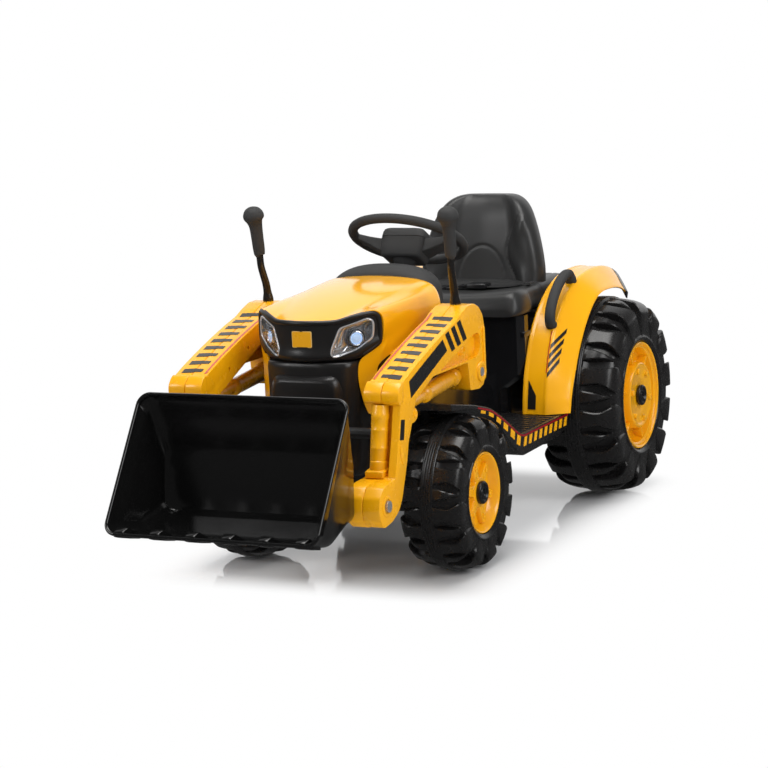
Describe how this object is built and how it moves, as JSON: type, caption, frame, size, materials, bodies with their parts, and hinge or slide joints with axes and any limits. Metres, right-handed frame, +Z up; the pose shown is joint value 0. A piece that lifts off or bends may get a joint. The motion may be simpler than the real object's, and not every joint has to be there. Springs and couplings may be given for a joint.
{
  "type": "ride-on toy tractor with front loader",
  "caption": "Battery ride-on toy tractor with a front loader bucket on lever-lifted arms, steered front wheels, seat, footboards and rear fenders.",
  "frame": {"origin": "on the floor, centre of the footprint between the bucket's teeth and the rear tyres", "axes": "-Y forward, +X the tractor's left, +Z up"},
  "size_m": [0.602, 1.3833, 0.6173],
  "materials": {
    "yellow_plastic": "glossy",
    "black_plastic": "satin",
    "black_mask": "satin",
    "soft_black": "matte",
    "seat_black": "satin",
    "bucket_black": "high gloss",
    "tyre_plastic": "semi-gloss",
    "footboard_black": "satin",
    "black_trim": "gloss",
    "black_frame": "satin",
    "zinc_steel": "zinc plated",
    "chrome": "mirror",
    "clear_lens": "clear",
    "webbing": "woven",
    "battery_case": "matte",
    "gear_case": "matte",
    "red_button": "gloss"
  },
  "bodies": {
    "chassis": {"body_tub": "black_plastic", "hood": "yellow_plastic", "grille_panel": "black_mask", "nose_cowl": "black_mask", "headlamp_bowl_left": "chrome", "headlamp_bowl_right": "chrome", "headlamp_lens_left": "clear_lens", "headlamp_lens_right": "clear_lens", "dash_cowl": "soft_black", "seat_back": "seat_black", "seat_base": "seat_black", "lap_belt": "webbing", "fender_left": "yellow_plastic", "fender_right": "yellow_plastic", "tail_trim_left": "black_trim", "tail_trim_right": "black_trim", "grab_handle_left": "soft_black", "grab_handle_right": "soft_black", "footboard_left": "footboard_black", "footboard_right": "footboard_black", "rear_axle": "zinc_steel", "front_axle_beam": "black_frame", "battery": "battery_case", "gearbox_left": "gear_case", "gearbox_right": "gear_case", "pivot_rod": "zinc_steel"},
    "steering": {"steering_wheel": "soft_black", "steering_shaft": "zinc_steel"},
    "horn": {"horn_button": "yellow_plastic"},
    "power_switch": {"power_button": "red_button"},
    "pedal": {"accelerator_pedal": "black_trim"},
    "tie_rod_bar": {"tie_rod": "zinc_steel"},
    "loader": {"cross_tube": "black_frame", "bucket_rod": "zinc_steel", "arm_inner_left": "yellow_plastic", "arm_outer_left": "yellow_plastic", "lift_ram_left": "yellow_plastic", "tilt_ram_left": "yellow_plastic", "lever_left": "soft_black", "arm_inner_right": "yellow_plastic", "arm_outer_right": "yellow_plastic", "lift_ram_right": "yellow_plastic", "tilt_ram_right": "yellow_plastic", "lever_right": "soft_black"},
    "scoop": {"bucket": "bucket_black"},
    "knuckle_left_body": {"knuckle_left": "zinc_steel"},
    "front_wheel_left": {"front_tyre_left": "tyre_plastic", "front_rim_left": "yellow_plastic", "front_hub_cap_left": "black_trim"},
    "rear_wheel_left": {"rear_tyre_left": "tyre_plastic", "rear_rim_left": "yellow_plastic", "rear_hub_cap_left": "black_trim"},
    "knuckle_right_body": {"knuckle_right": "zinc_steel"},
    "front_wheel_right": {"front_tyre_right": "tyre_plastic", "front_rim_right": "yellow_plastic", "front_hub_cap_right": "black_trim"},
    "rear_wheel_right": {"rear_tyre_right": "tyre_plastic", "rear_rim_right": "yellow_plastic", "rear_hub_cap_right": "black_trim"}
  },
  "joints": [
    {"name": "rear_wheel_left_spin", "type": "hinge", "parent": "chassis", "child": "rear_wheel_left", "pos_m": [0.221, 0.504, 0.18931], "axis": [1, 0, 0], "continuous": true},
    {"name": "rear_wheel_right_spin", "type": "hinge", "parent": "chassis", "child": "rear_wheel_right", "pos_m": [-0.221, 0.504, 0.18931], "axis": [1, 0, 0], "continuous": true},
    {"name": "steering_turn", "type": "hinge", "parent": "chassis", "child": "steering", "pos_m": [0, 0.103, 0.533], "axis": [0, 0.4695, 0.8829], "range_deg": [-30, 30]},
    {"name": "knuckle_left_turn", "type": "hinge", "parent": "chassis", "child": "knuckle_left_body", "pos_m": [0.12, -0.165, 0.13334], "axis": [0, 0, 1], "range_deg": [-14.05, 14.05]},
    {"name": "front_wheel_left_spin", "type": "hinge", "parent": "knuckle_left_body", "child": "front_wheel_left", "pos_m": [0.1945, -0.165, 0.13334], "axis": [1, 0, 0], "continuous": true},
    {"name": "knuckle_right_turn", "type": "hinge", "parent": "chassis", "child": "knuckle_right_body", "pos_m": [-0.12, -0.165, 0.13334], "axis": [0, 0, 1], "range_deg": [-14.05, 14.05]},
    {"name": "front_wheel_right_spin", "type": "hinge", "parent": "knuckle_right_body", "child": "front_wheel_right", "pos_m": [-0.1945, -0.165, 0.13334], "axis": [1, 0, 0], "continuous": true},
    {"name": "tie_rod_slide", "type": "slide", "parent": "chassis", "child": "tie_rod_bar", "axis": [1, 0, 0], "range_m": [-0.011, 0.011]},
    {"name": "horn_press", "type": "slide", "parent": "steering", "child": "horn", "axis": [0, -0.4695, -0.8829], "range_m": [0, 0.002], "stiffness_N_per_m": 300, "springref_m": -0.0005},
    {"name": "power_press", "type": "slide", "parent": "chassis", "child": "power_switch", "axis": [0, -1, 0], "range_m": [0, 0.002], "stiffness_N_per_m": 300, "springref_m": -0.0005},
    {"name": "pedal_press", "type": "hinge", "parent": "chassis", "child": "pedal", "pos_m": [-0.1525, 0.14, 0.1952], "axis": [1, 0, 0], "range_deg": [0, 8], "stiffness_Nm_per_rad": 2, "springref_deg": -2.86},
    {"name": "loader_lift", "type": "hinge", "parent": "chassis", "child": "loader", "pos_m": [0, -0.078, 0.326], "axis": [-1, 0, 0], "range_deg": [0, 40]},
    {"name": "bucket_tilt", "type": "hinge", "parent": "loader", "child": "scoop", "pos_m": [0, -0.476, 0.173], "axis": [1, 0, 0], "range_deg": [0, 40]}
  ],
  "couplings": [
    {"joint": "knuckle_left_turn", "follows": "steering_turn", "ratio": 0.46667},
    {"joint": "knuckle_right_turn", "follows": "steering_turn", "ratio": 0.46667},
    {"joint": "tie_rod_slide", "follows": "steering_turn", "m_per_rad": -0.020817}
  ]
}
